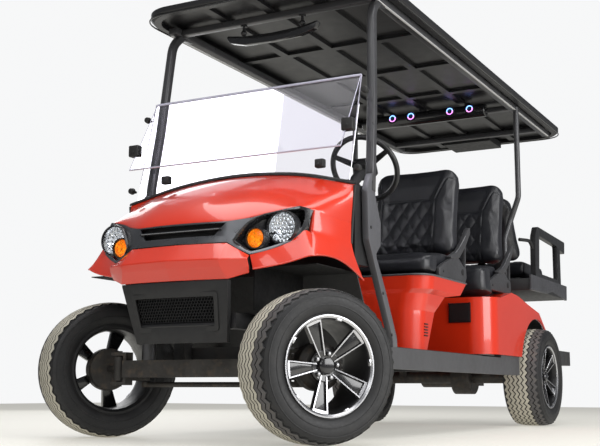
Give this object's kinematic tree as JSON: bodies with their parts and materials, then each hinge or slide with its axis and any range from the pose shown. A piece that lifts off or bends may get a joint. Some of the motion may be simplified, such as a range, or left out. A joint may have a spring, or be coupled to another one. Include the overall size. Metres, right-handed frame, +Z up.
{
  "type": "six seat golf cart",
  "caption": "Lifted electric golf cart with two forward benches, a rear-facing bench, canopy, folding windshield and steered front wheels on a leaf-sprung axle.",
  "frame": {"origin": "on the floor at the middle of the cart's box", "axes": "+Z up, +Y towards the rear of the cart, so that the nose faces -Y, +X towards the cart's left"},
  "size_m": [1.6056, 4.139, 2.044],
  "materials": {
    "tyre": "matte",
    "rim": "satin",
    "iron": "matte",
    "steel": "satin",
    "strut": "satin",
    "red": "gloss",
    "band": "satin",
    "black": "matte",
    "sill": "matte",
    "vinyl": "satin",
    "floor": "matte",
    "glass": "gloss",
    "lens": "gloss",
    "battery": "matte",
    "canopy": "satin"
  },
  "bodies": {
    "chassis": {"axle_beam_front": "iron", "battery_pack": "battery", "bumper": "red", "canopy": "canopy", "canopy_frame": "strut", "charge_port": "black", "chassis_rails": "steel", "cowl": "red", "dash": "black", "floor_board": "floor", "footboard": "steel", "front_fascia": "black", "front_seat_back": "vinyl", "front_seat_cushion": "vinyl", "front_seat_frame": "steel", "front_seat_pod": "red", "headlamps": "lens", "hip_restraints": "black", "middle_seat_back": "vinyl", "middle_seat_cushion": "vinyl", "middle_seat_frame": "steel", "mirror": "black", "nose_band": "band", "pedals": "black", "rear_axle_motor": "iron", "rear_body": "red", "rear_seat_arms": "black", "rear_seat_back": "vinyl", "rear_seat_cushion": "vinyl", "roof_box": "black", "sills": "sill", "sound_bar": "black", "springs_and_dampers": "iron", "steering_column": "black", "wheel_liners": "black", "windshield": "glass", "windshield_clips": "black"},
    "steering_wheel": {"steering_wheel": "black"},
    "knuckle_left": {"knuckle_left": "iron"},
    "knuckle_right": {"knuckle_right": "iron"},
    "tie_rod": {"tie_rod": "iron"},
    "charge_port_lid": {"charge_port_lid": "black"},
    "wheel_front_left": {"tyre_front_left": "tyre", "rim_front_left": "rim"},
    "wheel_front_right": {"tyre_front_right": "tyre", "rim_front_right": "rim"},
    "wheel_rear_left": {"tyre_rear_left": "tyre", "rim_rear_left": "rim"},
    "wheel_rear_right": {"tyre_rear_right": "tyre", "rim_rear_right": "rim"}
  },
  "joints": [
    {"name": "steer_left", "type": "hinge", "parent": "chassis", "child": "knuckle_left", "pos_m": [0.431, -1.6905, 0.292], "axis": [0, 0, 1], "range_deg": [-1.8, 68.2]},
    {"name": "steer_right", "type": "hinge", "parent": "chassis", "child": "knuckle_right", "pos_m": [-0.431, -1.6905, 0.292], "axis": [0, 0, 1], "range_deg": [-1.8, 68.2]},
    {"name": "tie_rod_pivot", "type": "hinge", "parent": "knuckle_left", "child": "tie_rod", "pos_m": [0.49671, -1.59009, 0.226], "axis": [0, 0, 1], "range_deg": [-68.2, 1.8]},
    {"name": "steering_wheel_turn", "type": "hinge", "parent": "chassis", "child": "steering_wheel", "pos_m": [0.3, -0.7645, 1.269], "axis": [0, 0.8192, 0.5736], "range_deg": [-16.2, 613.8]},
    {"name": "wheel_spin_front_left", "type": "hinge", "parent": "knuckle_left", "child": "wheel_front_left", "pos_m": [0.55986, -1.77482, 0.292], "axis": [0.8368, -0.5476, 0], "continuous": true},
    {"name": "wheel_spin_rear_left", "type": "hinge", "parent": "chassis", "child": "wheel_rear_left", "pos_m": [0.57, 1.1045, 0.292], "axis": [1, 0, 0], "continuous": true},
    {"name": "wheel_spin_front_right", "type": "hinge", "parent": "knuckle_right", "child": "wheel_front_right", "pos_m": [-0.55986, -1.60617, 0.292], "axis": [0.8368, -0.5476, 0], "continuous": true},
    {"name": "wheel_spin_rear_right", "type": "hinge", "parent": "chassis", "child": "wheel_rear_right", "pos_m": [-0.57, 1.1045, 0.292], "axis": [1, 0, 0], "continuous": true},
    {"name": "charge_port_lid_hinge", "type": "hinge", "parent": "chassis", "child": "charge_port_lid", "pos_m": [0.423, 0.1995, 0.681], "axis": [-1, 0, 0], "range_deg": [0, 100]}
  ],
  "couplings": [
    {"joint": "steer_right", "follows": "steer_left", "ratio": 1},
    {"joint": "tie_rod_pivot", "follows": "steer_left", "ratio": -1},
    {"joint": "steering_wheel_turn", "follows": "steer_left", "ratio": 9}
  ]
}
